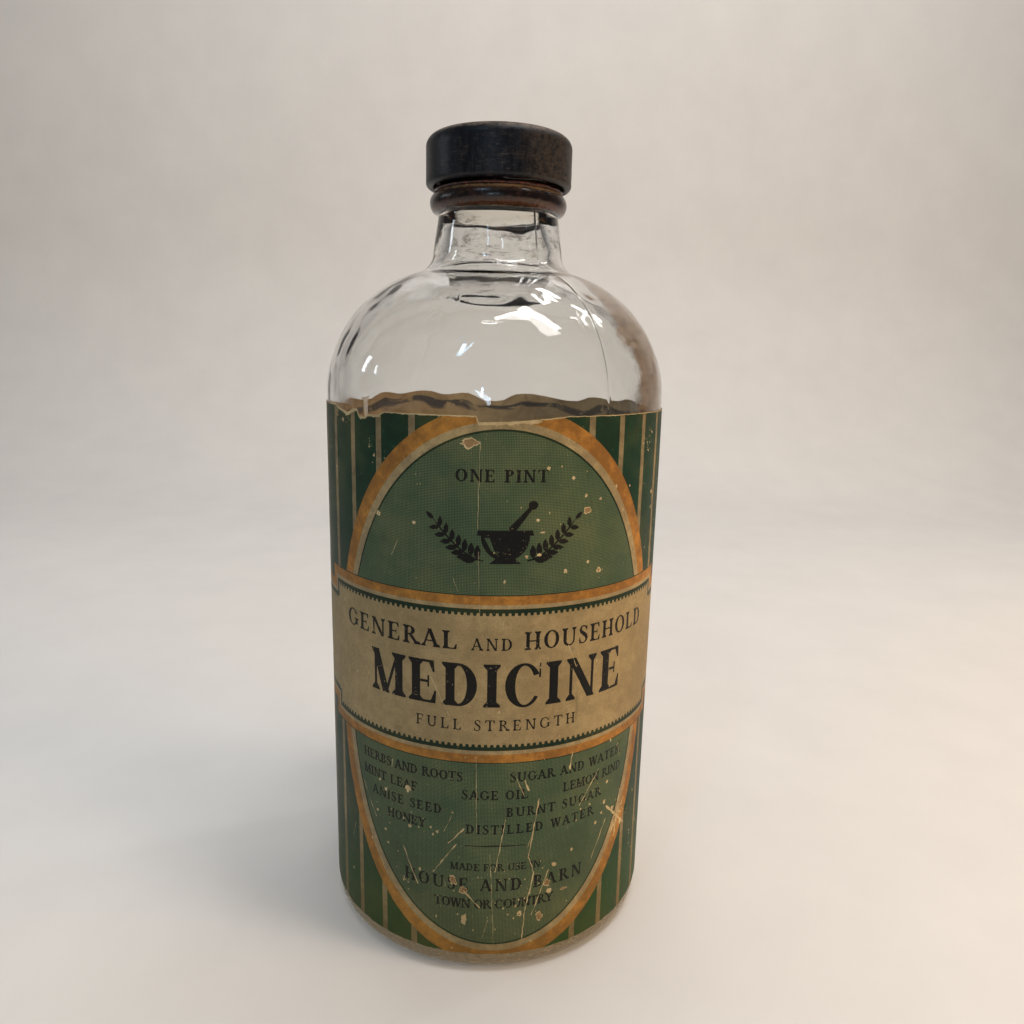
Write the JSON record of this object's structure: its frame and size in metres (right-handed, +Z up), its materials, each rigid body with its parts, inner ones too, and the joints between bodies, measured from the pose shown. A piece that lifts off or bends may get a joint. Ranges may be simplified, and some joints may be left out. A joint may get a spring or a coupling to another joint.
{
  "type": "medicine bottle",
  "caption": "Round clear-glass pint medicine bottle with a lined black screw cap on a threaded finish and a wrap-round paper label.",
  "frame": {"origin": "centre of the ring that the bottle stands on", "axes": "+Z up along the bottle's axis towards the cap, -Y towards the front of the label, +X to the viewer's right"},
  "size_m": [0.075, 0.075, 0.1729],
  "materials": {
    "bottle_glass": "clear, slightly wavy old glass, brown film in the neck",
    "label_paper": "printed paper, dull varnish, aged and scuffed",
    "cap_phenolic": "black moulded phenolic, dulled and dusty",
    "liner_pulpboard": "pressed pulpboard",
    "liner_waxed_paper": "waxed, stained by the contents"
  },
  "bodies": {
    "bottle": {"glass_bottle": "bottle_glass", "label": "label_paper"},
    "cap_liner": {"liner_backing": "liner_pulpboard", "liner_facing": "liner_waxed_paper"},
    "cap": {"cap_shell": "cap_phenolic"}
  },
  "joints": [
    {"name": "cap_lift", "type": "slide", "parent": "bottle", "child": "cap_liner", "axis": [0, 0, 1], "range_m": [0, 0.0106]},
    {"name": "cap_turn", "type": "hinge", "parent": "cap_liner", "child": "cap", "pos_m": [0, 0, 0.165], "axis": [0, 0, 1], "range_deg": [0, 900]}
  ],
  "couplings": [
    {"joint": "cap_lift", "follows": "cap_turn", "m_per_rad": 0.00067378}
  ]
}
